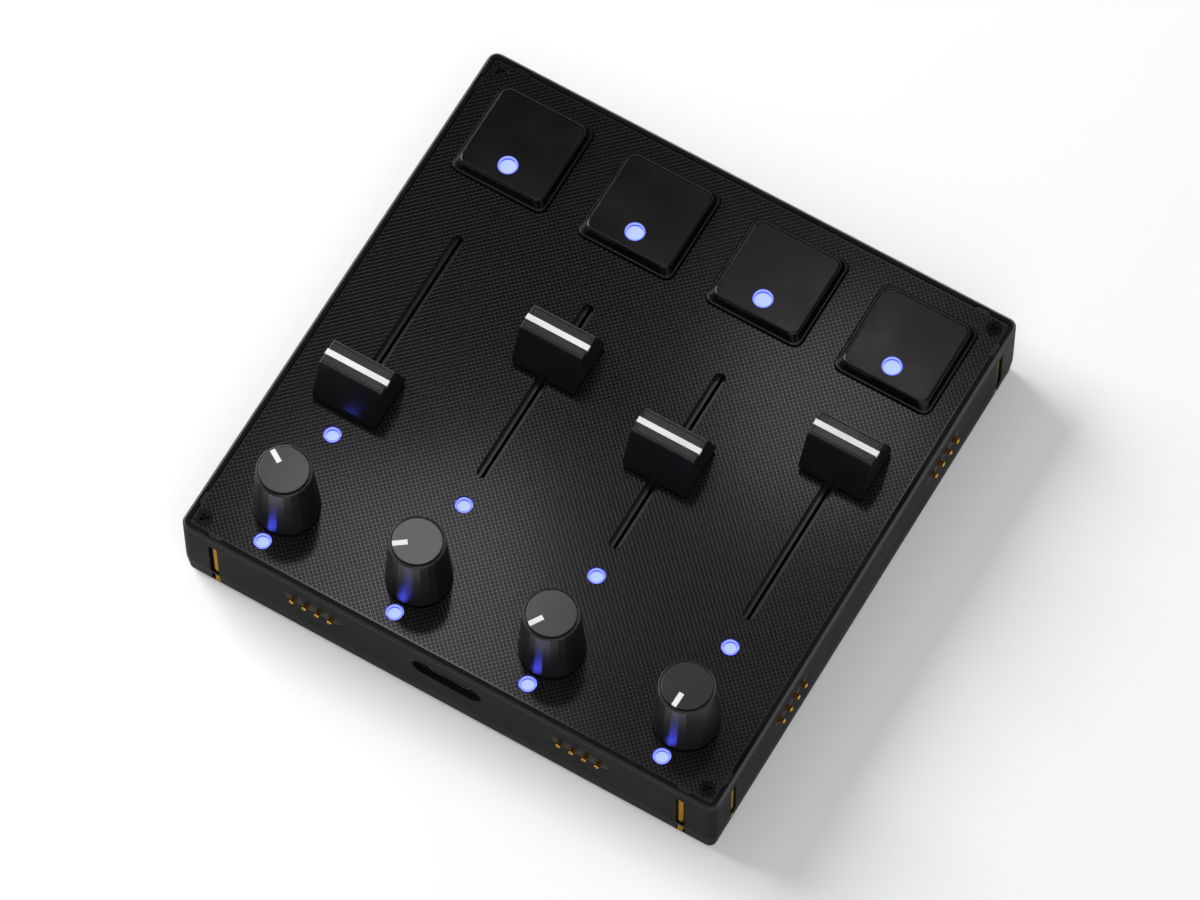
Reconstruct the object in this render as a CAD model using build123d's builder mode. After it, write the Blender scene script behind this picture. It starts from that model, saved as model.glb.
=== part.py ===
"""Square desktop control surface: four lit keys, four slide faders and four knobs in a case that docks on all sides.

Millimetres, +Z up. The origin is at the middle of the footprint, on the surface that the feet stand on.
The socket and the knob row face -Y, and the keys are along +Y.
"""

import os
from build123d import *

os.makedirs("parts", exist_ok=True)

# Case
case_size = 106.6
case_corner = 1.8
case_height = 17.85
rim_width = 1.2
rim_chamfer = 0.5
wall = 2.4
cover_height = 4.6
cover_floor = 1.6
cover_taper = 0.45
cover_edge = 0.4
standoff_radius = 2.5
standoff_edge_x = 24.0
standoff_edge_y = 26.0

# Feet
foot_proud = 0.8
foot_recess = 0.6
foot_radius = 4.0
foot_edge = 11.5

# Top panel
panel_thickness = 1.5
panel_drop = 0.2
panel_gap = 0.1
panel_corner = 0.5
tab_width = 1.9
tab_depth = 0.55

# Case screws
screw_edge = 3.3
screw_radius = 0.9
screw_head_radius = 1.45
screw_head_height = 0.9
screw_post_radius = 2.4
screw_tip_gap = 0.6
screw_cross = 1.7
screw_cross_width = 0.4
screw_cross_depth = 0.5

# Board and the lights on it
board_drop = 5.75
board_thickness = 1.6
board_gap = 0.4
board_notch = 6.9
led_size = 2.0
led_height = 0.6

# Docking magnets and their windows
magnet_radius = 1.0
magnet_skin = 0.2
magnet_shift = 0.25
magnet_back_wall = 0.5
magnet_floor = 0.9
magnet_top_gap = 0.6
window_edge = 6.65
window_width = 1.7
window_top_gap = 1.15
window_lip = 0.95
window_floor = 1.2

# Spring contacts
contact_shift = 0.15
contact_pitch = 2.54
contact_count = 4
contact_rise = 1.4
contact_face_length = 11.5
contact_face_height = 2.7
contact_body_length = 12.6
contact_body_depth = 3.4
contact_back = 0.6
pin_radius = 0.75
pin_tip_radius = 0.45
pin_tip_edge = 0.25
pin_collar_proud = 0.3
pin_tip_proud = 0.9
pin_length = 4.2
pin_travel = 0.8

# USB-C socket
usb_width = 8.94
usb_height = 3.26
usb_depth = 7.3
usb_shell = 0.3
usb_tongue_width = 6.69
usb_tongue_height = 0.7
usb_tongue_length = 4.45
port_length = 13.7
port_height = 4.6
port_recess = 1.0

# Columns of controls
column_edge = 13.55
column_shift = 0.25

# Keys
key_edge_x = 14.58
key_edge_y = 14.5
key_lip = 19.0
key_lip_corner = 1.7
key_lip_proud = 0.45
key_lip_round = 0.2
key_base = 18.25
key_base_corner = 1.5
key_top = 17.0
key_top_corner = 1.9
key_round = 0.6
key_wall = 1.2
key_roof = 1.2
key_proud = 2.15
key_sunk = 0.95
key_gap = 0.18
key_travel = 2.0
key_lens_radius = 1.78
key_lens_x = -0.15
key_lens_y = -4.85
switch_size = 13.8
switch_flange = 15.0
switch_flange_height = 0.8
switch_base_height = 2.2
switch_gap = 0.75
switch_taper = 0.9
switch_floor = 0.4
switch_window = 5.0
switch_window_depth = 3.2
stem_width = 10.0
stem_depth = 4.6
stem_rise = 0.6
stem_post_width = 4.0
stem_post_depth = 3.0
stem_post_grip = 1.6
socket_wall = 0.6

# Faders
fader_centre_y = -0.4
fader_travel = 31.0
fader_shares = (0.0, 0.748, 0.513, 0.994)
slot_width = 2.2
slot_end_gap = 1.6
cap_width = 12.4
cap_depth = 10.5
cap_top_depth = 5.0
cap_height = 9.2
cap_skirt = 1.8
cap_edge = 0.2
cap_groove_inset = 0.4
cap_groove_width = 0.16
cap_groove_depth = 0.15
cap_socket_depth = 5.0
line_width = 1.1
line_depth = 0.6
line_proud = 0.05
control_gap = 0.55
frame_width = 9.0
frame_wall = 0.6
frame_slit = 0.6
slider_length = 7.0
slider_height = 3.6
slider_end_gap = 1.0
lever_thickness = 0.4
lever_depth = 4.0

# Knobs
knob_edge_y = 12.55
knob_shift = 0.5
knob_base_radius = 5.92
knob_top_radius = 4.95
knob_height = 13.9
knob_facets = 24
knob_chamfer = 0.25
knob_disc_radius = 4.4
knob_disc_proud = 0.35
knob_disc_edge = 0.12
knob_groove = 0.2
knob_groove_depth = 0.5
knob_hollow_radius = 4.7
knob_hollow_depth = 2.0
knob_angles = (149.0, 216.0, 238.0, 269.0)
pointer_length = 2.8
pointer_width = 0.95
pointer_depth = 0.4
pointer_proud = 0.05
pot_size = 9.6
pot_height = 5.2
pot_bushing_radius = 3.5
pot_bushing_gap = 0.3
pot_floor = 1.2
shaft_radius = 3.0
shaft_flat = 1.5
shaft_grip = 9.5

# Lights in the panel
light_radius = 1.4
light_ring = 0.17
light_drop = 0.08
light_cup_wall = 0.18
light_cup_depth = 0.95
light_cup_taper = 6
light_flange = 0.5
light_flange_height = 0.6
light_gap = 0.2
light_shift = 0.27
fader_light_gap = 5.79
knob_light_edge = 4.71

# Clearances shared by pieces that fit together
fit = 0.05
running = 0.15
seat = 0.05

# Heights worked out from the sizes above
cover_z = foot_proud
floor_z = cover_z + cover_floor
seam_z = cover_z + cover_height
rim_z = cover_z + case_height
panel_z = rim_z - panel_drop
ledge_z = panel_z - panel_thickness
board_z = ledge_z - board_drop
control_z = panel_z + control_gap

# Places worked out from the sizes above
half = case_size / 2
inner = half - wall
screw_place = half - screw_edge
window_along = half - window_edge
magnet_along = window_along - magnet_shift
magnet_inset = magnet_skin + fit + magnet_radius
contact_z = board_z + contact_rise
usb_z = board_z + usb_height / 2
column_pitch = 2 * (half - column_edge) / 3
contact_along = column_pitch + contact_shift
columns = [column_shift + column_pitch * (number - 1.5) for number in range(4)]
key_pitch = 2 * (half - key_edge_x) / 3
keys = [key_pitch * (number - 1.5) for number in range(4)]
key_y = half - key_edge_y
knobs = [place + knob_shift for place in columns]
lights = [place + light_shift for place in columns]
knob_y = knob_edge_y - half
knob_light_y = knob_light_edge - half
slot_length = fader_travel + lever_depth + 2 * slot_end_gap
fader_light_y = fader_centre_y - slot_length / 2 - fader_light_gap
panel_size = case_size - 2 * (rim_width + panel_gap)


def on_sides(along, inset):
    """Give the eight places that lie along the four sides, each turned so that its -Y faces outwards."""
    places = []
    for side in range(4):
        for across in (-along, along):
            places.append(Location((0, 0, 0), (0, 0, 90 * side)) * Location((across, inset - half, 0)))
    return places


def corners(place):
    """Give the four places at the same distance from both middle planes."""
    return GridLocations(2 * place, 2 * place, 2, 2)


def panel_outline(clearance, mode=Mode.ADD):
    """Draw the panel's outline, with its eight slant-ended tabs over the windows, grown by a clearance."""
    size = panel_size + 2 * clearance
    reach = 2 * tab_depth
    RectangleRounded(size, size, panel_corner + clearance, mode=mode)
    with Locations(*on_sides(window_along, half - size / 2)):
        Trapezoid(tab_width + clearance + 2 * reach, reach, 45, rotation=180, mode=mode)


# Bottom cover: a drafted tray with screw bosses, magnet pockets, standoffs and foot recesses
with BuildPart() as bottom_cover:
    with BuildSketch(Plane.XY.offset(cover_z)):
        RectangleRounded(case_size - 2 * cover_taper, case_size - 2 * cover_taper, case_corner - cover_taper)
    with BuildSketch(Plane.XY.offset(seam_z)):
        RectangleRounded(case_size, case_size, case_corner)
    loft()
    fillet(bottom_cover.edges().group_by(Axis.Z)[0], cover_edge)
    with BuildSketch(Plane.XY.offset(floor_z)):
        Rectangle(2 * inner, 2 * inner)
        with corners(screw_place):
            Circle(screw_post_radius, mode=Mode.SUBTRACT)
        with Locations(*on_sides(magnet_along, magnet_inset)):
            Rectangle(2 * (magnet_radius + fit + magnet_back_wall),
                      2 * (magnet_radius + fit + magnet_back_wall), mode=Mode.SUBTRACT)
    extrude(amount=seam_z - floor_z, mode=Mode.SUBTRACT)
    with BuildSketch(Plane.XY.offset(floor_z)):
        with GridLocations(2 * (half - standoff_edge_x), 2 * (half - standoff_edge_y), 2, 2):
            Circle(standoff_radius)
    extrude(amount=board_z - board_thickness - floor_z)
    with BuildSketch(Plane.XY.offset(cover_z + magnet_floor)):
        with Locations(*on_sides(magnet_along, magnet_inset)):
            Circle(magnet_radius + fit)
    extrude(amount=seam_z - cover_z - magnet_floor, mode=Mode.SUBTRACT)
    with BuildSketch(Plane.XY.offset(cover_z + window_floor)):
        with Locations(*on_sides(window_along, magnet_inset / 2)):
            Rectangle(window_width, magnet_inset)
    extrude(amount=seam_z - window_lip - cover_z - window_floor, mode=Mode.SUBTRACT)
    with BuildSketch(Plane.XY.offset(floor_z)):
        with corners(screw_place):
            Circle(screw_radius + fit)
    extrude(amount=seam_z - floor_z, mode=Mode.SUBTRACT)
    with BuildSketch(Plane.XY.offset(cover_z)):
        with corners(half - foot_edge):
            Circle(foot_radius + fit)
    extrude(amount=foot_recess, mode=Mode.SUBTRACT)
bottom_cover.part.label = "bottom_cover"
export_step(bottom_cover.part, "parts/bottom_cover.step")

# Rubber feet, pressed into the cover's recesses
with BuildPart() as rubber_feet:
    with BuildSketch():
        with corners(half - foot_edge):
            Circle(foot_radius)
    extrude(amount=foot_proud + foot_recess)
    chamfer(rubber_feet.edges().group_by(Axis.Z)[0], foot_proud / 4)
rubber_feet.part.label = "rubber_feet"
export_step(rubber_feet.part, "parts/rubber_feet.step")

# Case frame: four walls with a rim and a ledge for the panel, magnet pockets and openings for the contacts
with BuildPart() as case_frame:
    with BuildSketch(Plane.XY.offset(seam_z)):
        RectangleRounded(case_size, case_size, case_corner)
    extrude(amount=rim_z - seam_z)
    chamfer(case_frame.faces().sort_by(Axis.Z)[-1].edges(), rim_chamfer)
    with BuildSketch(Plane.XY.offset(ledge_z)):
        panel_outline(panel_gap)
    extrude(amount=rim_z - ledge_z, mode=Mode.SUBTRACT)
    with BuildSketch(Plane.XY.offset(seam_z)):
        Rectangle(2 * inner, 2 * inner)
        with corners(screw_place):
            Circle(screw_post_radius, mode=Mode.SUBTRACT)
        with Locations(*on_sides(magnet_along, magnet_inset)):
            Rectangle(2 * (magnet_radius + fit + magnet_back_wall),
                      2 * (magnet_radius + fit + magnet_back_wall), mode=Mode.SUBTRACT)
    extrude(amount=ledge_z - seam_z, mode=Mode.SUBTRACT)
    with BuildSketch(Plane.XY.offset(seam_z)):
        with Locations(*on_sides(magnet_along, magnet_inset)):
            Circle(magnet_radius + fit)
        with corners(screw_place):
            Circle(screw_radius + fit)
    extrude(amount=ledge_z - seam_z, mode=Mode.SUBTRACT)
    with BuildSketch(Plane.XY.offset(seam_z)):
        with Locations(*on_sides(window_along, magnet_inset / 2)):
            Rectangle(window_width, magnet_inset)
    extrude(amount=ledge_z - window_top_gap - seam_z, mode=Mode.SUBTRACT)
    for side_plane in (Plane.XZ, Plane.YZ):
        with BuildSketch(side_plane):
            with Locations((-contact_along, contact_z), (contact_along, contact_z)):
                SlotOverall(contact_face_length + 2 * fit, contact_face_height + 2 * fit)
        extrude(amount=half, both=True, mode=Mode.SUBTRACT)
    with BuildSketch(Plane.XZ.offset(half - port_recess)):
        with Locations((column_shift, usb_z)):
            SlotOverall(port_length, port_height)
    extrude(amount=port_recess, mode=Mode.SUBTRACT)
    with BuildSketch(Plane.XZ.offset(inner)):
        with Locations((column_shift, usb_z)):
            SlotOverall(usb_width + 2 * running, usb_height + 2 * running)
    extrude(amount=wall, mode=Mode.SUBTRACT)
case_frame.part.label = "case_frame"
export_step(case_frame.part, "parts/case_frame.step")

# Top panel, with openings for the keys, fader levers, shafts, lights and screws
with BuildPart() as top_panel:
    with BuildSketch(Plane.XY.offset(ledge_z)):
        panel_outline(0)
        with Locations(*[(place, key_y) for place in keys]):
            RectangleRounded(key_lip + 2 * key_gap, key_lip + 2 * key_gap, key_lip_corner + key_gap,
                             mode=Mode.SUBTRACT)
        with Locations(*[(place, fader_centre_y) for place in columns]):
            SlotOverall(slot_length, slot_width, rotation=90, mode=Mode.SUBTRACT)
        with Locations(*[(place, knob_y) for place in knobs]):
            Circle(pot_bushing_radius + running, mode=Mode.SUBTRACT)
        with Locations(*[(place, y) for place in lights for y in (fader_light_y, knob_light_y)]):
            Circle(light_radius + light_ring, mode=Mode.SUBTRACT)
        with corners(screw_place):
            Circle(screw_radius + fit, mode=Mode.SUBTRACT)
    extrude(amount=panel_thickness)
    with BuildSketch(Plane.XY.offset(panel_z)):
        with corners(screw_place):
            Circle(screw_head_radius + fit)
    extrude(amount=-screw_head_height, mode=Mode.SUBTRACT)
top_panel.part.label = "top_panel"
export_step(top_panel.part, "parts/top_panel.step")

# Case screws, which clamp the panel and the frame onto the cover
with BuildPart() as case_screws:
    with BuildSketch(Plane.XY.offset(panel_z)):
        with corners(screw_place):
            Circle(screw_head_radius)
    extrude(amount=-screw_head_height)
    with BuildSketch(Plane.XY.offset(panel_z - screw_head_height)):
        with corners(screw_place):
            Circle(screw_radius)
    extrude(amount=floor_z + screw_tip_gap + screw_head_height - panel_z)
    with BuildSketch(Plane.XY.offset(panel_z)):
        with corners(screw_place):
            Rectangle(screw_cross, screw_cross_width, rotation=45)
            Rectangle(screw_cross_width, screw_cross, rotation=45)
    extrude(amount=-screw_cross_depth, mode=Mode.SUBTRACT)
case_screws.part.label = "case_screws"
export_step(case_screws.part, "parts/case_screws.step")

# Circuit board, notched clear of the screw posts and magnet pockets
with BuildPart() as main_board:
    with BuildSketch(Plane.XY.offset(board_z - board_thickness)):
        Rectangle(2 * (inner - board_gap), 2 * (inner - board_gap))
        with corners(inner - board_gap):
            Rectangle(2 * board_notch, 2 * board_notch, mode=Mode.SUBTRACT)
    extrude(amount=board_thickness)
main_board.part.label = "main_board"
export_step(main_board.part, "parts/main_board.step")

# Light-emitting chips on the board, one under each light
light_places = [(place, y) for place in lights for y in (fader_light_y, knob_light_y)]
key_light_places = [(place + key_lens_x, key_y + key_lens_y) for place in keys]
with BuildPart() as led_chips:
    with BuildSketch(Plane.XY.offset(board_z)):
        with Locations(*light_places, *key_light_places):
            Rectangle(led_size, led_size)
    extrude(amount=led_height)
led_chips.part.label = "led_chips"
export_step(led_chips.part, "parts/led_chips.step")

# Light pipes: cups in the panel with a flange under it and a stem down to the chip
for row_name, row_y in (("fader_lights", fader_light_y), ("knob_lights", knob_light_y)):
    row = [(place, row_y) for place in lights]
    pipe_z = board_z + led_height + light_gap
    light_z = panel_z - light_drop
    with BuildPart() as light_row:
        with BuildSketch(Plane.XY.offset(pipe_z)):
            with Locations(*row):
                Circle(light_radius)
        extrude(amount=light_z - pipe_z)
        with BuildSketch(Plane.XY.offset(ledge_z)):
            with Locations(*row):
                Circle(light_radius + light_flange)
        extrude(amount=-light_flange_height)
        with BuildSketch(Plane.XY.offset(light_z)):
            with Locations(*row):
                Circle(light_radius - light_cup_wall)
        extrude(amount=-light_cup_depth, taper=light_cup_taper, mode=Mode.SUBTRACT)
    light_row.part.label = row_name
    export_step(light_row.part, f"parts/{row_name}.step")

# Rod magnets, upright in the pockets behind the windows
with BuildPart() as dock_magnets:
    with BuildSketch(Plane.XY.offset(cover_z + magnet_floor)):
        with Locations(*on_sides(magnet_along, magnet_inset)):
            Circle(magnet_radius)
    extrude(amount=ledge_z - magnet_top_gap - cover_z - magnet_floor)
dock_magnets.part.label = "dock_magnets"
export_step(dock_magnets.part, "parts/dock_magnets.step")

# Contact blocks: a rounded nose flush with the wall, and a body on the board behind it
block_planes = []
for place in on_sides(contact_along, 0):
    outwards = Location((0, 0, 0), (0, 0, place.orientation.Z)) * Location((0, -1, 0))
    block_planes.append(Plane((place.position.X, place.position.Y, contact_z), z_dir=outwards.position,
                              x_dir=(-outwards.position.Y, outwards.position.X, 0)))
pin_row = [(contact_pitch * (number - (contact_count - 1) / 2), 0) for number in range(contact_count)]
with BuildPart() as contact_blocks:
    for plane in block_planes:
        with BuildSketch(plane.offset(-wall - seat)):
            SlotOverall(contact_face_length, contact_face_height)
        extrude(amount=wall)
        with BuildSketch(plane.offset(-wall - seat)):
            Rectangle(contact_body_length, 2 * contact_rise)
        extrude(amount=-contact_body_depth)
        with BuildSketch(plane.offset(-seat)):
            with Locations(*pin_row):
                Circle(pin_radius + fit)
        extrude(amount=contact_back - wall - contact_body_depth, mode=Mode.SUBTRACT)
contact_blocks.part.label = "contact_blocks"
export_step(contact_blocks.part, "parts/contact_blocks.step")

# Spring contacts: stepped pins that slide into their block
for number, plane in enumerate(block_planes, 1):
    outwards = Axis(plane.origin, plane.z_dir)
    with BuildPart() as contact_pins:
        with BuildSketch(plane.offset(pin_collar_proud)):
            with Locations(*pin_row):
                Circle(pin_radius)
        extrude(amount=-pin_length)
        chamfer(contact_pins.faces().group_by(outwards)[-1].edges(), pin_collar_proud)
        with BuildSketch(plane.offset(pin_collar_proud)):
            with Locations(*pin_row):
                Circle(pin_tip_radius)
        extrude(amount=pin_tip_proud - pin_collar_proud)
        chamfer(contact_pins.faces().group_by(outwards)[-1].edges(), pin_tip_edge)
    contact_pins.part.label = f"contact_pins_{number}"
    export_step(contact_pins.part, f"parts/contact_pins_{number}.step")

# USB-C socket: a rounded metal shell on the board's edge with a plastic tongue inside
usb_front = half - port_recess - seat
with BuildPart() as usb_socket_shell:
    with BuildSketch(Plane.XZ.offset(usb_front)):
        with Locations((column_shift, usb_z)):
            SlotOverall(usb_width, usb_height)
    extrude(amount=-usb_depth)
    with BuildSketch(Plane.XZ.offset(usb_front)):
        with Locations((column_shift, usb_z)):
            SlotOverall(usb_width - 2 * usb_shell, usb_height - 2 * usb_shell)
    extrude(amount=2 * usb_shell - usb_depth, mode=Mode.SUBTRACT)
usb_socket_shell.part.label = "usb_shell"
export_step(usb_socket_shell.part, "parts/usb_shell.step")

with BuildPart() as usb_tongue:
    with BuildSketch(Plane.XZ.offset(usb_front - usb_depth + 2 * usb_shell)):
        with Locations((column_shift, usb_z)):
            RectangleRounded(usb_tongue_width, usb_tongue_height, usb_tongue_height / 4)
    extrude(amount=usb_tongue_length)
usb_tongue.part.label = "usb_tongue"
export_step(usb_tongue.part, "parts/usb_tongue.step")

# Key switch housings, each with a well for its stem and a window over its chip
switch_top_z = ledge_z - switch_gap
flange_z = board_z + switch_base_height
well_width = stem_width + 2 * running
well_depth = stem_depth + 2 * running
with BuildPart() as switch_housings:
    with BuildSketch(Plane.XY.offset(board_z)):
        with Locations(*[(place, key_y) for place in keys]):
            Rectangle(switch_size, switch_size)
    extrude(amount=flange_z + switch_flange_height - board_z)
    with BuildSketch(Plane.XY.offset(flange_z)):
        with Locations(*[(place, key_y) for place in keys]):
            Rectangle(switch_flange, switch_flange)
    extrude(amount=switch_flange_height)
    for place in keys:
        with BuildSketch(Plane((place, key_y, flange_z + switch_flange_height))):
            Rectangle(switch_size, switch_size)
        with BuildSketch(Plane((place, key_y, switch_top_z))):
            Rectangle(switch_size - 2 * switch_taper, switch_size - 2 * switch_taper)
        loft()
    with BuildSketch(Plane.XY.offset(board_z + switch_floor)):
        with Locations(*[(place, key_y) for place in keys]):
            Rectangle(well_width, well_depth)
    extrude(amount=switch_top_z - board_z - switch_floor, mode=Mode.SUBTRACT)
    with BuildSketch(Plane.XY.offset(board_z)):
        with Locations(*key_light_places):
            Rectangle(switch_window, switch_window_depth)
    extrude(amount=switch_top_z - board_z, mode=Mode.SUBTRACT)
switch_housings.part.label = "switch_housings"
export_step(switch_housings.part, "parts/switch_housings.step")

# Keys: a hollow cap with a socket for the stem, a lens in its roof and the switch stem
key_top_z = panel_z + key_proud
key_skirt_z = panel_z - key_sunk
key_lip_z = panel_z + key_lip_proud
key_roof_z = key_top_z - key_roof
stem_z = switch_top_z + stem_rise
stem_low_z = board_z + switch_floor + key_travel + running
for number, place in enumerate(keys, 1):
    lens_place = (place + key_lens_x, key_y + key_lens_y)
    with BuildPart() as keycap:
        with BuildSketch(Plane((place, key_y, key_skirt_z))):
            RectangleRounded(key_lip, key_lip, key_lip_corner)
        extrude(amount=key_lip_z - key_skirt_z)
        fillet(keycap.faces().sort_by(Axis.Z)[-1].edges(), key_lip_round)
        with BuildSketch(Plane((place, key_y, key_lip_z))):
            RectangleRounded(key_base, key_base, key_base_corner)
        with BuildSketch(Plane((place, key_y, key_top_z))):
            RectangleRounded(key_top, key_top, key_top_corner)
        loft()
        fillet(keycap.faces().sort_by(Axis.Z)[-1].edges(), key_round)
        with BuildSketch(Plane((place, key_y, key_skirt_z))):
            Rectangle(key_base - 2 * key_wall, key_base - 2 * key_wall)
        with BuildSketch(Plane((place, key_y, key_roof_z))):
            Rectangle(key_top - 2 * key_wall, key_top - 2 * key_wall)
        loft(mode=Mode.SUBTRACT)
        with BuildSketch(Plane((place, key_y, stem_z))):
            Rectangle(stem_post_width + 2 * (fit + socket_wall), stem_post_depth + 2 * (fit + socket_wall))
        extrude(amount=key_roof_z - stem_z)
        with BuildSketch(Plane((place, key_y, stem_z))):
            Rectangle(stem_post_width + 2 * fit, stem_post_depth + 2 * fit)
        extrude(amount=stem_post_grip + fit, mode=Mode.SUBTRACT)
        with BuildSketch(Plane((*lens_place, key_top_z))):
            Circle(key_lens_radius + fit)
        extrude(amount=-key_roof, mode=Mode.SUBTRACT)
    keycap.part.label = f"keycap_{number}"
    export_step(keycap.part, f"parts/keycap_{number}.step")

    with BuildPart() as key_lens:
        with BuildSketch(Plane((*lens_place, key_roof_z))):
            Circle(key_lens_radius)
        extrude(amount=key_roof - seat)
        with BuildSketch(Plane((*lens_place, key_roof_z))):
            Circle(key_lens_radius + light_flange)
        extrude(amount=-light_flange_height)
        with BuildSketch(Plane((*lens_place, key_top_z - seat))):
            Circle(key_lens_radius - light_cup_wall)
        extrude(amount=-light_cup_depth, taper=light_cup_taper, mode=Mode.SUBTRACT)
    key_lens.part.label = f"key_lens_{number}"
    export_step(key_lens.part, f"parts/key_lens_{number}.step")

    with BuildPart() as switch_stem:
        with BuildSketch(Plane((place, key_y, stem_low_z))):
            Rectangle(stem_width, stem_depth)
        extrude(amount=stem_z - stem_low_z)
        with BuildSketch(Plane((place, key_y, stem_z))):
            Rectangle(stem_post_width, stem_post_depth)
        extrude(amount=stem_post_grip)
    switch_stem.part.label = f"switch_stem_{number}"
    export_step(switch_stem.part, f"parts/switch_stem_{number}.step")

# Slide potentiometer frames: folded metal boxes with a slit for the lever
frame_length = fader_travel + slider_length + 2 * (slider_end_gap + frame_wall)
frame_height = board_drop - seat
fader_places = [(place, fader_centre_y) for place in columns]
with BuildPart() as fader_frames:
    with BuildSketch(Plane.XY.offset(board_z)):
        with Locations(*fader_places):
            Rectangle(frame_width, frame_length)
    extrude(amount=frame_height)
    with BuildSketch(Plane.XY.offset(board_z + frame_wall)):
        with Locations(*fader_places):
            Rectangle(frame_width - 2 * frame_wall, frame_length - 2 * frame_wall)
    extrude(amount=frame_height - 2 * frame_wall, mode=Mode.SUBTRACT)
    with BuildSketch(Plane.XY.offset(board_z + frame_height)):
        with Locations(*fader_places):
            Rectangle(frame_slit, slot_length)
    extrude(amount=-frame_wall, mode=Mode.SUBTRACT)
fader_frames.part.label = "fader_frames"
export_step(fader_frames.part, "parts/fader_frames.step")

# Faders: a wedge cap with a white line across its top, on a slider with a blade lever
cap_z = control_z + cap_height
slider_z = board_z + frame_wall + seat
for number, (place, share) in enumerate(zip(columns, fader_shares), 1):
    fader_y = fader_centre_y + fader_travel * (share - 0.5)
    with BuildPart() as fader_cap:
        with BuildSketch(Plane((place - cap_width / 2, fader_y, control_z), x_dir=(0, 1, 0), z_dir=(1, 0, 0))):
            with BuildLine():
                Polyline((-cap_depth / 2, 0), (cap_depth / 2, 0), (cap_depth / 2, cap_skirt),
                         (cap_top_depth / 2, cap_height), (-cap_top_depth / 2, cap_height),
                         (-cap_depth / 2, cap_skirt), close=True)
            make_face()
        extrude(amount=cap_width)
        chamfer(fader_cap.faces().sort_by(Axis.Z)[-1].edges(), cap_edge)
        with BuildSketch(Plane((place, fader_y, cap_z))):
            Rectangle(cap_width - 2 * cap_groove_inset, cap_top_depth - 2 * cap_groove_inset)
            Rectangle(cap_width - 2 * (cap_groove_inset + cap_groove_width),
                      cap_top_depth - 2 * (cap_groove_inset + cap_groove_width), mode=Mode.SUBTRACT)
        extrude(amount=-cap_groove_depth, mode=Mode.SUBTRACT)
        with BuildSketch(Plane((place, fader_y, cap_z))):
            Rectangle(cap_width, line_width)
        extrude(amount=-line_depth, mode=Mode.SUBTRACT)
        with BuildSketch(Plane((place, fader_y, control_z))):
            Rectangle(lever_thickness + 2 * fit, lever_depth + 2 * fit)
        extrude(amount=cap_socket_depth, mode=Mode.SUBTRACT)
    fader_cap.part.label = f"fader_cap_{number}"
    export_step(fader_cap.part, f"parts/fader_cap_{number}.step")

    with BuildPart() as fader_line:
        with BuildSketch(Plane((place, fader_y, cap_z - line_depth))):
            Rectangle(cap_width + 2 * line_proud, line_width)
        extrude(amount=line_depth + line_proud)
    fader_line.part.label = f"fader_line_{number}"
    export_step(fader_line.part, f"parts/fader_line_{number}.step")

    with BuildPart() as fader_slider:
        with BuildSketch(Plane((place, fader_y, slider_z))):
            Rectangle(frame_width - 2 * (frame_wall + running), slider_length)
        extrude(amount=slider_height)
        with BuildSketch(Plane((place, fader_y, slider_z + slider_height))):
            Rectangle(lever_thickness, lever_depth)
        extrude(amount=control_z + cap_socket_depth - fit - slider_z - slider_height)
    fader_slider.part.label = f"fader_slider_{number}"
    export_step(fader_slider.part, f"parts/fader_slider_{number}.step")

# Rotary potentiometer bodies, each with a bushing through the panel
bushing_z = panel_z - pot_bushing_gap
pot_places = [(place, knob_y) for place in knobs]
with BuildPart() as pot_bodies:
    with BuildSketch(Plane.XY.offset(board_z)):
        with Locations(*pot_places):
            Rectangle(pot_size, pot_size)
    extrude(amount=pot_height)
    with BuildSketch(Plane.XY.offset(board_z + pot_height)):
        with Locations(*pot_places):
            Circle(pot_bushing_radius)
    extrude(amount=bushing_z - board_z - pot_height)
    with BuildSketch(Plane.XY.offset(board_z + pot_floor)):
        with Locations(*pot_places):
            Circle(shaft_radius + fit)
    extrude(amount=bushing_z - board_z - pot_floor, mode=Mode.SUBTRACT)
pot_bodies.part.label = "pot_bodies"
export_step(pot_bodies.part, "parts/pot_bodies.step")

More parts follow.
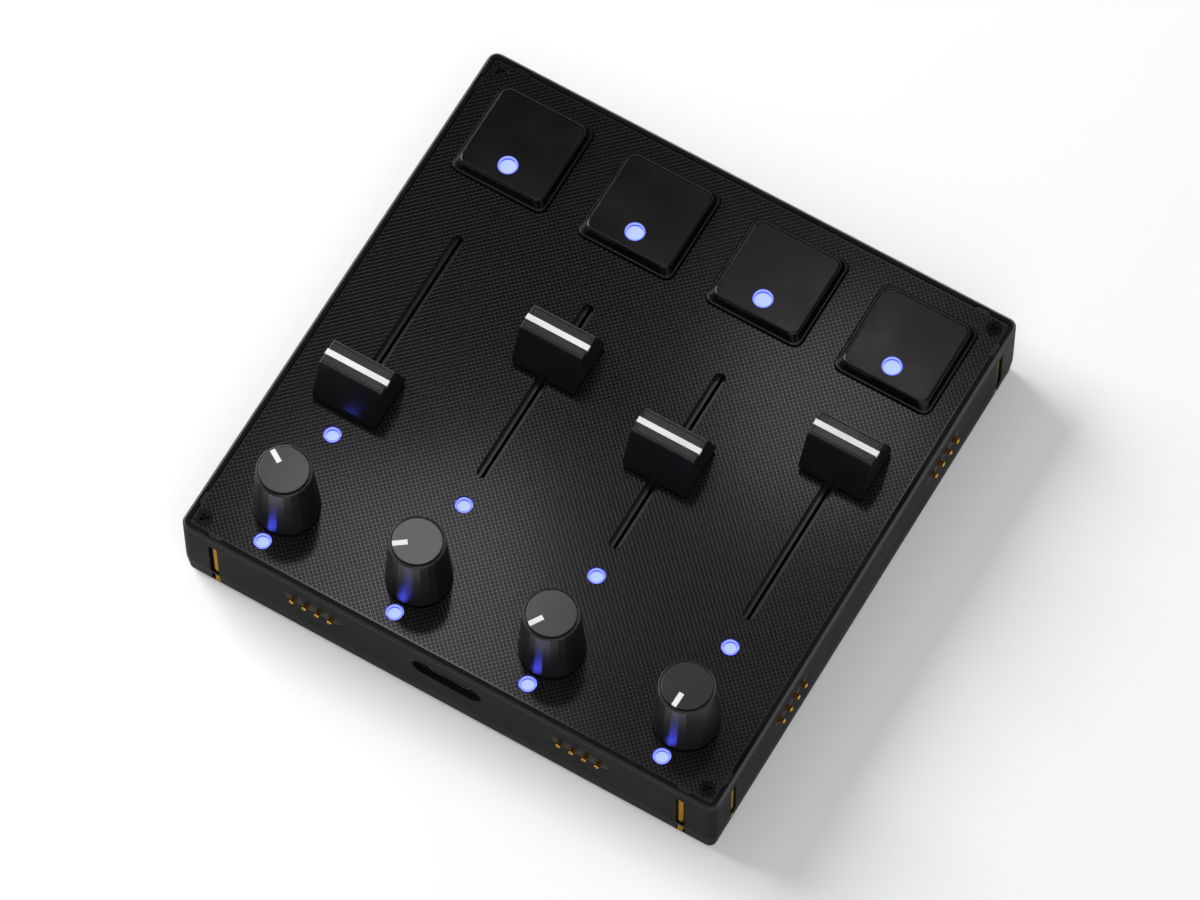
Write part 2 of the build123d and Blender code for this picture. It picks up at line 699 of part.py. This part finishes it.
# Knobs: a faceted taper with a raised disc and a white pointer, on a shaft with a flat
knob_z = control_z + knob_height
disc_z = knob_z + knob_disc_proud
shaft_low_z = board_z + pot_floor + seat
shaft_top_z = control_z + shaft_grip
for number, (place, angle) in enumerate(zip(knobs, knob_angles), 1):
    turn = Location((place, knob_y, 0), (0, 0, angle))
    knob_low = Plane(turn).offset(control_z)
    knob_top = Plane(turn).offset(knob_z)
    disc_top = Plane(turn).offset(disc_z)
    pointer_middle = knob_disc_radius - pointer_length / 2
    with BuildPart() as knob:
        with BuildSketch(knob_low):
            RegularPolygon(knob_base_radius, knob_facets)
        with BuildSketch(knob_top):
            RegularPolygon(knob_top_radius, knob_facets)
        loft()
        chamfer(knob.faces().sort_by(Axis.Z)[-1].edges(), knob_chamfer)
        with BuildSketch(knob_top):
            Circle(knob_disc_radius + knob_groove)
        extrude(amount=-knob_groove_depth, mode=Mode.SUBTRACT)
        with BuildSketch(knob_top.offset(-knob_groove_depth)):
            Circle(knob_disc_radius)
        extrude(amount=knob_groove_depth + knob_disc_proud)
        chamfer(knob.faces().sort_by(Axis.Z)[-1].edges(), knob_disc_edge)
        with BuildSketch(disc_top):
            with Locations((pointer_middle, 0)):
                Rectangle(pointer_length, pointer_width)
        extrude(amount=-pointer_depth, mode=Mode.SUBTRACT)
        with BuildSketch(knob_low):
            Circle(knob_hollow_radius)
        extrude(amount=knob_hollow_depth, mode=Mode.SUBTRACT)
        with BuildSketch(knob_low):
            Circle(shaft_radius + fit)
            with Locations((-2 * shaft_radius + shaft_flat - fit, 0)):
                Rectangle(2 * shaft_radius, 3 * shaft_radius, mode=Mode.SUBTRACT)
        extrude(amount=shaft_grip + fit, mode=Mode.SUBTRACT)
    knob.part.label = f"knob_{number}"
    export_step(knob.part, f"parts/knob_{number}.step")

    with BuildPart() as knob_pointer:
        with BuildSketch(disc_top.offset(-pointer_depth)):
            Circle(knob_disc_radius - knob_disc_edge)
            with Locations((pointer_middle, 0)):
                Rectangle(pointer_length, pointer_width, mode=Mode.INTERSECT)
        extrude(amount=pointer_depth + pointer_proud)
    knob_pointer.part.label = f"knob_pointer_{number}"
    export_step(knob_pointer.part, f"parts/knob_pointer_{number}.step")

    with BuildPart() as pot_shaft:
        with BuildSketch(Plane(turn).offset(shaft_low_z)):
            Circle(shaft_radius)
        extrude(amount=control_z - shaft_low_z)
        with BuildSketch(knob_low):
            Circle(shaft_radius)
            with Locations((-2 * shaft_radius + shaft_flat, 0)):
                Rectangle(2 * shaft_radius, 3 * shaft_radius, mode=Mode.SUBTRACT)
        extrude(amount=shaft_top_z - control_z)
    pot_shaft.part.label = f"pot_shaft_{number}"
    export_step(pot_shaft.part, f"parts/pot_shaft_{number}.step")
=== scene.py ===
"""Looks for a square control surface: finishes on its solids, soft studio light and the view.

Metres, in the same frame as the solids: +Z up, the socket and the knob row towards -Y.
"""

import math
import bpy
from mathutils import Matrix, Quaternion, Vector


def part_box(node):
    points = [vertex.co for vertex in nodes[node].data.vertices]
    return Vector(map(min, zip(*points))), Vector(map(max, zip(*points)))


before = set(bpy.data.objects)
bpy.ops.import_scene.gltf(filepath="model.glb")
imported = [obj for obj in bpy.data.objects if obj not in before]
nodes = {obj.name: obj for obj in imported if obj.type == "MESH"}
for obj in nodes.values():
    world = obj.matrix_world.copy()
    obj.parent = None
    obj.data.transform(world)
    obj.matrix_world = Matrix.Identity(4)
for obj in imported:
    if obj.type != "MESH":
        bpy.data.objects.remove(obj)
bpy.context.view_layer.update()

MM = 0.001
WHITE = (1, 1, 1)

# How many keys, faders and knobs there are of each, and how many groups of contacts
CONTROLS = 4
CONTACT_GROUPS = 8

# The photograph's view: a long lens over the front right corner
LENS_MM = 240.1
SENSOR_MM = 36.0
CAMERA_PLACE = (0.29523, -0.49855, 1.27870)
CAMERA_AIM = (0.00236, -0.00458, 0.01845)
CAMERA_ROLL = math.radians(-0.41)

# Sockets of a mix node that mixes colours
MIX_FACTOR, MIX_FIRST, MIX_SECOND, MIX_RESULT = 0, 6, 7, 2

# The span that most of a noise lies in, and the rays that round an edge's look
NOISE_SPAN = (0.3, 0.7)
EDGE_SAMPLES = 6

# Plastic and metal: the sizes of their clouds and grain, and how far a cloud shifts tone and gloss
PLASTIC_CLOUD = 9 * MM
PLASTIC_GRAIN = 0.12 * MM
PLASTIC_TONES = (0.75, 1.25)
PLASTIC_GLOSS = (-0.04, 0.04)
METAL_CLOUD = 1.5 * MM
METAL_GRAIN = 0.25 * MM
METAL_GRAIN_DEPTH = 0.0008 * MM
METAL_TONES = (0.88, 1.0)
METAL_GLOSS = (-0.06, 0.08)
SOFT_EDGE = 0.08 * MM

# The black pieces' faintly warm sheen, and how gold tints what it mirrors at a glance
SHEEN_TINT = (1.0, 0.95, 0.99)
GOLD_RIM = (1.0, 0.80, 0.48)

# How far out from the wall the contacts' gold comes out of the painted shade at their collars, is
# full, and ends at their end faces, which carry a painted dark reflection; and the brown that
# paints both
PIN_SHADED_UNTIL = 0.28 * MM
PIN_GOLD_FROM = 0.66 * MM
PIN_FACE = 0.88 * MM
PIN_PAINTED_SHADE = (0.055, 0.024, 0.004)

# The fine diagonal mesh under the panel's lacquer: pits with rounded corners between raised lines
MESH_PITCH = 0.707 * MM
MESH_HOLE = 0.39
MESH_EDGE = 0.10
MESH_ROUNDING = 3.0
MESH_BORDER = 0.32 * MM
MESH_DEPTH = 0.008 * MM
TAB_REACH = 0.55 * MM
PANEL_CLOUD = 14 * MM
PANEL_IOR = 1.42
PIT_TONES = ((0.0014, 0.0013, 0.0014), (0.0018, 0.0017, 0.0018))
PIT_ROUGHNESS = 0.14
PIT_TINT = (0.48, 0.46, 0.48)
LINE_TONES = ((0.0076, 0.0073, 0.0076), (0.0092, 0.0088, 0.0092))
LINE_ROUGHNESS = 0.125

# How far below the case's top its glossy rim and the rim's chamfer reach
RIM_DEPTH = 0.7 * MM
RIM_CHAMFER = 0.5 * MM
RIM_FLAT = 0.03 * MM
CHAMFER_TONE = (0.085, 0.082, 0.085)
WALL_ROUGHER = 0.24

# The disc set in a knob's top
DISC_EDGE = 0.1 * MM
DISC_CLOUD = 5 * MM
DISC_TONES = ((0.0075, 0.0072, 0.0075), (0.009, 0.0087, 0.009))
DISC_ROUGHNESS = 0.20

# The lit cups: strengths and colours, and shares of the cup's depth; the weak deep blue glow low on
# the wall is painted shade in the corner by the floor
LIGHT_COLOUR = (0.075, 0.095, 1.0)
LIGHT_BRIGHT = 6.0
LIGHT_WALL = 0.9
LIGHT_CORNER_SHADE = 0.45
LIGHT_EDGE = 0.75
LIGHT_LIP_COLOUR = (0.30, 0.36, 1.0)
LIGHT_FLOOR_END = 0.03
LIGHT_WALL_STEP = (0.58, 0.68)
LIGHT_LIP = 0.97
LIGHT_CUP_DEPTH = 0.95 * MM
LIGHT_CLOUD = 0.8 * MM
LIGHT_TONES = ((0.045, 0.055, 0.28), (0.055, 0.065, 0.32))
LIGHT_ROUGHNESS = (0.32, 0.38)

# The floor, and the glow that takes it to white where it is seen
FLOOR_HALF = 8.0
FLOOR_CLOUD = 0.4
FLOOR_TONES = ((0.90, 0.90, 0.90), (0.94, 0.94, 0.94))
FLOOR_ROUGHNESS = 0.9
FLOOR_IOR = 1.1
FLOOR_LIFT = 0.14

# The surround: white at the horizon and dim above it, with a glow overhead that ends towards the
# back left, so that its edge is mirrored across the panel
WORLD_FADE = (0.05, 0.45)
WORLD_TOP = 0.04
CEILING = 0.45
CEILING_RISE = (0.78, 0.88)
CEILING_SPAN = (-0.635, -0.525)

# The lamps: name, place, aim, width and watts
CASE_MIDDLE = (0, 0, 0.01)
LAMPS = (
    ("key", (-0.93, 0.10, 0.76), CASE_MIDDLE, 0.7, 13.6),
    ("fill", (0.66, -0.79, 1.23), CASE_MIDDLE, 1.2, 6.3),
    ("sheen_left", (-0.123, 0.118, 0.473), (-0.014, -0.052, 0.018), 0.062, 0.054),
    ("sheen_right", (-0.062, 0.210, 0.473), (0.042, 0.026, 0.018), 0.046, 0.0265),
)


def rgba(colour):
    """Give a colour its alpha."""
    return (*colour, 1.0)


def shade(colour, factor):
    """Give a colour made lighter or darker."""
    return [channel * factor for channel in colour]


class Tree:
    """A tree of nodes, with short calls that add nodes and join them."""

    def __init__(self, tree):
        self.tree = tree
        self.tree.nodes.clear()

    def add(self, kind, **inputs):
        """Add a node and fill its inputs, by name, with values or with other nodes' outputs."""
        node = self.tree.nodes.new(kind)
        for name, value in inputs.items():
            self.fill(node.inputs[name.replace("_", " ")], value)
        return node

    def fill(self, socket, value):
        """Set one input to a value, or join it to an output."""
        if isinstance(value, bpy.types.NodeSocket):
            self.tree.links.new(value, socket)
        else:
            socket.default_value = value

    def math(self, operation, *values):
        """Work out a number from values or outputs."""
        node = self.add("ShaderNodeMath")
        node.operation = operation
        for socket, value in zip(node.inputs, values):
            self.fill(socket, value)
        return node.outputs["Value"]

    def span(self, value, low, high, start=0.0, end=1.0, smooth=False):
        """Map a number from start..end to low..high."""
        node = self.add("ShaderNodeMapRange", Value=value,
                        From_Min=start, From_Max=end, To_Min=low, To_Max=high)
        node.interpolation_type = "SMOOTHSTEP" if smooth else "LINEAR"
        return node.outputs["Result"]

    def split(self, place):
        """Split a place into its three distances."""
        node = self.add("ShaderNodeSeparateXYZ", Vector=place)
        return node.outputs["X"], node.outputs["Y"], node.outputs["Z"]


class Finish(Tree):
    """A material made of nodes."""

    def __init__(self, name):
        self.material = bpy.data.materials.new(name)
        self.material.use_nodes = True
        super().__init__(self.material.node_tree)
        self.shader = self.add("ShaderNodeBsdfPrincipled")
        self.add("ShaderNodeOutputMaterial", Surface=self.shader.outputs["BSDF"])
        self.place = self.add("ShaderNodeTexCoord").outputs["Object"]

    def set(self, name, value):
        """Set or join one of the shader's own inputs."""
        self.fill(self.shader.inputs[name], value)

    def joined(self, name):
        """Give the output that is joined to one of the shader's own inputs."""
        return self.shader.inputs[name].links[0].from_socket

    def axes(self):
        """Give the three distances of the place."""
        return self.split(self.place)

    def noise(self, size, detail=3.0):
        """Give a soft noise between 0 and 1 whose blotches are about the size given."""
        node = self.add("ShaderNodeTexNoise", Vector=self.place, Scale=1 / size, Detail=detail)
        return node.outputs["Fac"]

    def mix(self, factor, first, second):
        """Mix two colours, each a value or an output."""
        node = self.add("ShaderNodeMix")
        node.data_type = "RGBA"
        self.fill(node.inputs[MIX_FACTOR], factor)
        for socket, colour in ((MIX_FIRST, first), (MIX_SECOND, second)):
            given = isinstance(colour, bpy.types.NodeSocket)
            self.fill(node.inputs[socket], colour if given else rgba(colour))
        return node.outputs[MIX_RESULT]

    def soften(self, radius):
        """Round the look of the edges by a small radius, and give the normal."""
        node = self.add("ShaderNodeBevel", Radius=radius)
        node.samples = EDGE_SAMPLES
        return node.outputs["Normal"]

    def bump(self, height, depth, normal):
        """Raise the surface by a height between 0 and 1 of the depth given."""
        node = self.add("ShaderNodeBump", Height=height, Distance=depth, Normal=normal,
                        Strength=1.0)
        return node.outputs["Normal"]


def moulded(name, colour, roughness, ior=1.45, grain_depth=0.0015 * MM, edge=SOFT_EDGE):
    """Moulded plastic: a faint cloud in its tone and gloss, a fine grain and softened edges."""
    finish = Finish(name)
    cloud = finish.noise(PLASTIC_CLOUD)
    dark, light = (shade(colour, factor) for factor in PLASTIC_TONES)
    low, high = (roughness + shift for shift in PLASTIC_GLOSS)
    finish.set("Base Color", finish.mix(cloud, dark, light))
    finish.set("Roughness", finish.span(cloud, low, high, *NOISE_SPAN))
    finish.set("IOR", ior)
    finish.set("Specular Tint", rgba(SHEEN_TINT))
    grain = finish.noise(PLASTIC_GRAIN, detail=2.0)
    finish.set("Normal", finish.bump(grain, grain_depth, finish.soften(edge)))
    return finish


def metal(name, colour, roughness, rim=WHITE):
    """Plated or turned metal with slight unevenness in its gloss."""
    finish = Finish(name)
    cloud = finish.noise(METAL_CLOUD)
    dark, light = (shade(colour, factor) for factor in METAL_TONES)
    low, high = (roughness + shift for shift in METAL_GLOSS)
    finish.set("Base Color", finish.mix(cloud, dark, light))
    finish.set("Metallic", 1.0)
    finish.set("Specular Tint", rgba(rim))
    finish.set("Roughness", finish.span(cloud, low, high, *NOISE_SPAN))
    grain = finish.noise(METAL_GRAIN)
    finish.set("Normal", finish.bump(grain, METAL_GRAIN_DEPTH, finish.soften(SOFT_EDGE)))
    return finish


def sprung_contact():
    """Gold pins with a bright tip, and dull brown painted on as shade at their collars and as a
    dark reflection on their end faces.
    """
    finish = metal("contact_gold", (0.66, 0.36, 0.08), 0.22, GOLD_RIM)
    along, across, _ = finish.axes()
    out = finish.math("MAXIMUM", finish.math("ABSOLUTE", along), finish.math("ABSOLUTE", across))
    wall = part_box("case_frame")[1][0]
    # Brown painted shade near the wall and a brown painted reflection on the end faces, with gold
    # only between them
    unshaded = finish.span(out, 0.0, 1.0, wall + PIN_SHADED_UNTIL, wall + PIN_GOLD_FROM, smooth=True)
    unshaded = finish.math("MULTIPLY", unshaded, finish.math("LESS_THAN", out, wall + PIN_FACE))
    finish.set("Base Color", finish.mix(unshaded, PIN_PAINTED_SHADE, finish.joined("Base Color")))
    return finish


def meshed_panel():
    """Black lacquered laminate over a fine diagonal mesh, with a plain border round its edge."""
    finish = Finish("panel_black")
    along, across, _ = finish.axes()
    reaches = []
    for direction in ("ADD", "SUBTRACT"):
        diagonal = finish.math(direction, along, across)
        place = finish.math("DIVIDE", diagonal, MESH_PITCH * math.sqrt(2))
        reach = finish.math("ABSOLUTE", finish.math("SUBTRACT", finish.math("FRACT", place), 0.5))
        reaches.append(finish.math("POWER", reach, MESH_ROUNDING))
    spread = finish.math("POWER", finish.math("ADD", *reaches), 1 / MESH_ROUNDING)
    line = finish.span(spread, 0.0, 1.0, MESH_HOLE - MESH_EDGE, MESH_HOLE + MESH_EDGE / 2,
                       smooth=True)
    plain_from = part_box("top_panel")[1][0] - TAB_REACH - MESH_BORDER
    rim = finish.math("MAXIMUM", finish.math("ABSOLUTE", along), finish.math("ABSOLUTE", across))
    line = finish.math("MAXIMUM", line, finish.math("GREATER_THAN", rim, plain_from))
    cloud = finish.noise(PANEL_CLOUD)
    pit_tone = finish.mix(cloud, *PIT_TONES)
    line_tone = finish.mix(cloud, *LINE_TONES)
    finish.set("Base Color", finish.mix(line, pit_tone, line_tone))
    finish.set("Roughness", finish.span(line, PIT_ROUGHNESS, LINE_ROUGHNESS))
    finish.set("Specular Tint", finish.mix(line, PIT_TINT, SHEEN_TINT))
    finish.set("IOR", PANEL_IOR)
    finish.set("Normal", finish.bump(line, MESH_DEPTH, finish.soften(SOFT_EDGE)))
    return finish


def case_moulding():
    """Satin black moulding, glossier on its rim than on its walls and lighter on the chamfer."""
    finish = moulded("case_black", (0.009, 0.0087, 0.009), 0.24, ior=1.10, edge=0.12 * MM)
    _, _, height = finish.axes()
    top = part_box("case_frame")[1][2]
    rim = finish.math("GREATER_THAN", height, top - RIM_DEPTH)
    wall = finish.math("SUBTRACT", 1.0, rim)
    rougher = finish.math("MULTIPLY", wall, WALL_ROUGHER)
    finish.set("Roughness", finish.math("ADD", finish.joined("Roughness"), rougher))
    above = finish.math("GREATER_THAN", height, top - RIM_CHAMFER)
    below = finish.math("LESS_THAN", height, top - RIM_FLAT)
    chamfer = finish.math("MULTIPLY", above, below)
    finish.set("Base Color", finish.mix(chamfer, finish.joined("Base Color"), CHAMFER_TONE))
    finish.set("Metallic", chamfer)
    return finish


def pointer_knob():
    """Black moulding with a smoother, slightly lighter disc set in its top."""
    finish = moulded("knob_black", (0.006, 0.0058, 0.006), 0.33, ior=1.6,
                     grain_depth=0.0005 * MM, edge=0.05 * MM)
    _, _, height = finish.axes()
    disc = finish.math("GREATER_THAN", height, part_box("knob_1")[1][2] - DISC_EDGE)
    grey = finish.mix(finish.noise(DISC_CLOUD), *DISC_TONES)
    finish.set("Base Color", finish.mix(disc, finish.joined("Base Color"), grey))
    side = finish.math("SUBTRACT", 1.0, disc)
    side_gloss = finish.math("MULTIPLY", finish.joined("Roughness"), side)
    disc_gloss = finish.math("MULTIPLY", disc, DISC_ROUGHNESS)
    finish.set("Roughness", finish.math("ADD", side_gloss, disc_gloss))
    return finish


def lit_cup(name, top_z):
    """A lit cup: bright on its floor and high on its wall, with painted shade in deep blue low on
    the wall, and a pale lip.
    """
    finish = Finish(name)
    _, _, height = finish.axes()
    rise = finish.span(height, 0.0, 1.0, top_z - LIGHT_CUP_DEPTH, top_z)
    # The glow is turned down to a deep blue low on the wall, as painted shade in the corner by the
    # floor
    wall = finish.span(rise, LIGHT_CORNER_SHADE, LIGHT_WALL * LIGHT_BRIGHT, *LIGHT_WALL_STEP, smooth=True)
    floor = finish.math("LESS_THAN", rise, LIGHT_FLOOR_END)
    glow = finish.math("MAXIMUM", wall, finish.math("MULTIPLY", floor, LIGHT_BRIGHT))
    lip = finish.math("GREATER_THAN", rise, LIGHT_LIP)
    glow = finish.math("MULTIPLY", glow, finish.span(lip, 1.0, LIGHT_EDGE / LIGHT_BRIGHT))
    cloud = finish.noise(LIGHT_CLOUD)
    finish.set("Base Color", finish.mix(cloud, *LIGHT_TONES))
    finish.set("Roughness", finish.span(cloud, *LIGHT_ROUGHNESS, *NOISE_SPAN))
    finish.set("Emission Color", finish.mix(lip, LIGHT_COLOUR, LIGHT_LIP_COLOUR))
    finish.set("Emission Strength", glow)
    return finish


def paint(names, finish):
    """Give one finish to each of the nodes named."""
    for name in names:
        for slot in nodes[name].material_slots:
            slot.link = "OBJECT"
            slot.material = finish.material


def numbered(name, count):
    """Give a node's name with the numbers from 1 to the count."""
    return [f"{name}_{number}" for number in range(1, count + 1)]


case_black = case_moulding()
block_black = moulded("block_black", (0.022, 0.0215, 0.022), 0.45, ior=1.14)
key_black = moulded("key_black", (0.0030, 0.0029, 0.0030), 0.2, ior=1.36)
fader_black = moulded("fader_black", (0.007, 0.0068, 0.007), 0.25, ior=1.52, edge=0.05 * MM)
knob_black = pointer_knob()
socket_black = moulded("socket_black", (0.01, 0.01, 0.01), 0.35)
mark_white = moulded("mark_white", (0.84, 0.84, 0.85), 0.45, edge=0.06 * MM)
foot_rubber = moulded("foot_rubber", (0.012, 0.012, 0.012), 0.75, ior=1.4, grain_depth=0.02 * MM)
inner_grey = moulded("inner_grey", (0.18, 0.18, 0.19), 0.5)
board_green = moulded("board_green", (0.012, 0.07, 0.03), 0.35)
chip_white = moulded("chip_white", (0.8, 0.8, 0.74), 0.4)
contact_gold = sprung_contact()
magnet_gold = metal("magnet_gold", (0.31, 0.155, 0.03), 0.26, GOLD_RIM)
screw_black = metal("screw_black", (0.012, 0.012, 0.0125), 0.45)
frame_black = moulded("frame_black", (0.022, 0.0215, 0.022), 0.18, edge=0.05 * MM)
shell_steel = metal("shell_steel", (0.30, 0.30, 0.31), 0.3)
shaft_steel = metal("shaft_steel", (0.6, 0.6, 0.61), 0.3)
panel_black = meshed_panel()
panel_light = lit_cup("panel_light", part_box("knob_lights")[1][2])
key_light = lit_cup("key_light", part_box("key_lens_1")[1][2])

paint(["bottom_cover", "case_frame"], case_black)
paint(["contact_blocks"], block_black)
paint(["top_panel"], panel_black)
paint(["case_screws"], screw_black)
paint(["rubber_feet"], foot_rubber)
paint(["main_board"], board_green)
paint(["led_chips"], chip_white)
paint(["usb_shell"], shell_steel)
paint(["usb_tongue", "switch_housings"], socket_black)
paint(["dock_magnets"], magnet_gold)
paint(["fader_frames", "pot_bodies"], frame_black)
paint(numbered("contact_pins", CONTACT_GROUPS), contact_gold)
paint(numbered("keycap", CONTROLS), key_black)
paint(numbered("switch_stem", CONTROLS) + numbered("fader_slider", CONTROLS), inner_grey)
paint(numbered("fader_cap", CONTROLS), fader_black)
paint(numbered("fader_line", CONTROLS) + numbered("knob_pointer", CONTROLS), mark_white)
paint(numbered("knob", CONTROLS), knob_black)
paint(numbered("pot_shaft", CONTROLS), shaft_steel)
paint(["fader_lights", "knob_lights"], panel_light)
paint(numbered("key_lens", CONTROLS), key_light)


def aimed(place, aim):
    """Give the turn that points a lamp or a camera from one place at another."""
    return (Vector(aim) - Vector(place)).to_track_quat("-Z", "Y")


def softbox(name, place, aim, width, watts):
    """A square lamp with a soft edge to its shadows, pointed at a place."""
    lamp = bpy.data.lights.new(name, "AREA")
    lamp.shape = "RECTANGLE"
    lamp.size = lamp.size_y = width
    lamp.energy = watts
    holder = bpy.data.objects.new(name, lamp)
    holder.location = place
    holder.rotation_euler = aimed(place, aim).to_euler()
    bpy.context.collection.objects.link(holder)


def pale_floor():
    """A plain floor that keeps its shadow and is lifted to white where it is seen."""
    half = FLOOR_HALF
    corners = [(-half, -half, 0), (half, -half, 0), (half, half, 0), (-half, half, 0)]
    mesh = bpy.data.meshes.new("floor")
    mesh.from_pydata(corners, [], [(0, 1, 2, 3)])
    floor = bpy.data.objects.new("floor", mesh)
    bpy.context.collection.objects.link(floor)
    finish = Finish("floor_pale")
    finish.set("Base Color", finish.mix(finish.noise(FLOOR_CLOUD), *FLOOR_TONES))
    finish.set("Roughness", FLOOR_ROUGHNESS)
    finish.set("IOR", FLOOR_IOR)
    seen = finish.add("ShaderNodeLightPath").outputs
    straight = finish.math("MAXIMUM", seen["Is Camera Ray"], seen["Is Glossy Ray"])
    straight = finish.math("MAXIMUM", straight, seen["Is Transmission Ray"])
    finish.set("Emission Color", rgba(WHITE))
    finish.set("Emission Strength", finish.math("MULTIPLY", straight, FLOOR_LIFT))
    mesh.materials.append(finish.material)


def surround():
    """A white surround that dims with height, and a faint ceiling glow overhead."""
    world = bpy.data.worlds.new("surround")
    bpy.context.scene.world = world
    world.use_nodes = True
    sky = Tree(world.node_tree)
    right, back, height = sky.split(sky.add("ShaderNodeTexCoord").outputs["Generated"])
    away = sky.math("SUBTRACT", right, back)
    overhead = sky.span(height, 0.0, 1.0, *CEILING_RISE, smooth=True)
    ceiling = sky.math("MULTIPLY", overhead,
                       sky.span(away, 0.0, CEILING, *CEILING_SPAN, smooth=True))
    fade = sky.span(height, 1.0, WORLD_TOP, *WORLD_FADE, smooth=True)
    dome = sky.add("ShaderNodeBackground", Color=rgba(WHITE),
                   Strength=sky.math("ADD", fade, ceiling))
    sky.add("ShaderNodeOutputWorld", Surface=dome.outputs["Background"])


def photograph_view():
    """Set the camera where the photograph was taken from."""
    data = bpy.data.cameras.new("camera")
    data.sensor_fit = "HORIZONTAL"
    data.sensor_width = SENSOR_MM
    data.lens = LENS_MM
    camera = bpy.data.objects.new("camera", data)
    camera.location = CAMERA_PLACE
    turn = aimed(CAMERA_PLACE, CAMERA_AIM) @ Quaternion((0, 0, 1), CAMERA_ROLL)
    camera.rotation_euler = turn.to_euler()
    bpy.context.collection.objects.link(camera)
    bpy.context.scene.camera = camera


pale_floor()
surround()
for lamp_row in LAMPS:
    softbox(*lamp_row)
photograph_view()
bpy.context.scene.view_settings.view_transform = "Standard"
